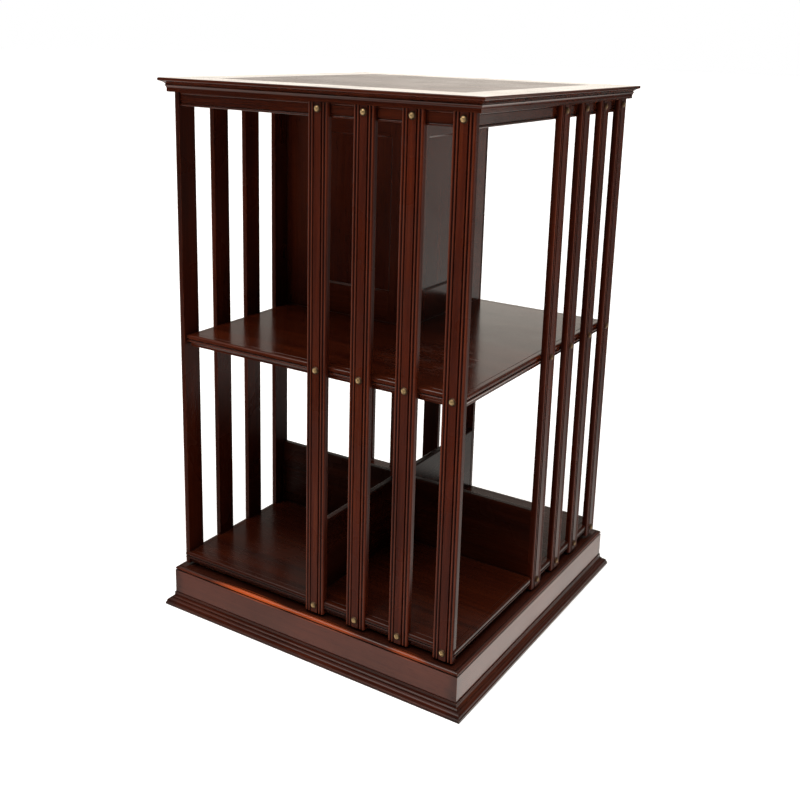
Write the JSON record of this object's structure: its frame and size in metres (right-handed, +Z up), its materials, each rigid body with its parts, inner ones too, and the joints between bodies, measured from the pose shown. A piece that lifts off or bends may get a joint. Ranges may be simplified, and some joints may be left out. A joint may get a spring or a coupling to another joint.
{
  "type": "revolving bookcase",
  "caption": "Square two-tier revolving bookcase in dark polished mahogany with reeded slats, brass buttons and a moulded fixed plinth.",
  "frame": {"origin": "centre of the plinth's underside, on the floor", "axes": "+Z up along the spindle, front towards -Y, right towards +X"},
  "size_m": [0.5024, 0.5024, 0.7728],
  "materials": {
    "mahogany": "polished",
    "mahogany_top": "polished",
    "carcase_wood": "raw",
    "brass": "polished",
    "steel": "machined"
  },
  "bodies": {
    "base": {"base_bearer": "carcase_wood", "base_board": "carcase_wood", "base_corner_blocks": "carcase_wood", "bearing_plate": "steel", "bearing_plate_screws": "steel", "fascia_back": "mahogany", "fascia_front": "mahogany", "fascia_left": "mahogany", "fascia_right": "mahogany", "plinth_moulding_back": "mahogany", "plinth_moulding_front": "mahogany", "plinth_moulding_left": "mahogany", "plinth_moulding_right": "mahogany", "spindle": "steel", "spindle_nut": "steel", "thrust_ring": "brass"},
    "carcass": {"centre_pillar": "mahogany", "divider_back": "mahogany", "divider_front": "mahogany", "divider_left": "mahogany", "divider_right": "mahogany", "frieze_back": "mahogany", "frieze_front": "mahogany", "frieze_left": "mahogany", "frieze_right": "mahogany", "lower_shelf": "mahogany", "mid_shelf": "mahogany", "slat_back_1": "mahogany", "slat_back_2": "mahogany", "slat_back_3": "mahogany", "slat_back_4": "mahogany", "slat_buttons": "brass", "slat_front_1": "mahogany", "slat_front_2": "mahogany", "slat_front_3": "mahogany", "slat_front_4": "mahogany", "slat_left_1": "mahogany", "slat_left_2": "mahogany", "slat_left_3": "mahogany", "slat_left_4": "mahogany", "slat_right_1": "mahogany", "slat_right_2": "mahogany", "slat_right_3": "mahogany", "slat_right_4": "mahogany", "spindle_bushes": "brass", "top_border_back": "mahogany_top", "top_border_front": "mahogany_top", "top_border_left": "mahogany_top", "top_border_right": "mahogany_top", "top_field": "mahogany_top", "wall_back_panel": "mahogany", "wall_back_rail_bottom": "mahogany", "wall_back_rail_top": "mahogany", "wall_back_stile_inner": "mahogany", "wall_back_stile_outer": "mahogany", "wall_left_panel": "mahogany", "wall_left_rail_bottom": "mahogany", "wall_left_rail_top": "mahogany", "wall_left_stile_inner": "mahogany", "wall_left_stile_outer": "mahogany"}
  },
  "joints": [
    {"name": "revolve", "type": "hinge", "parent": "base", "child": "carcass", "pos_m": [0, 0, 0.0668], "axis": [0, 0, 1], "continuous": true}
  ]
}
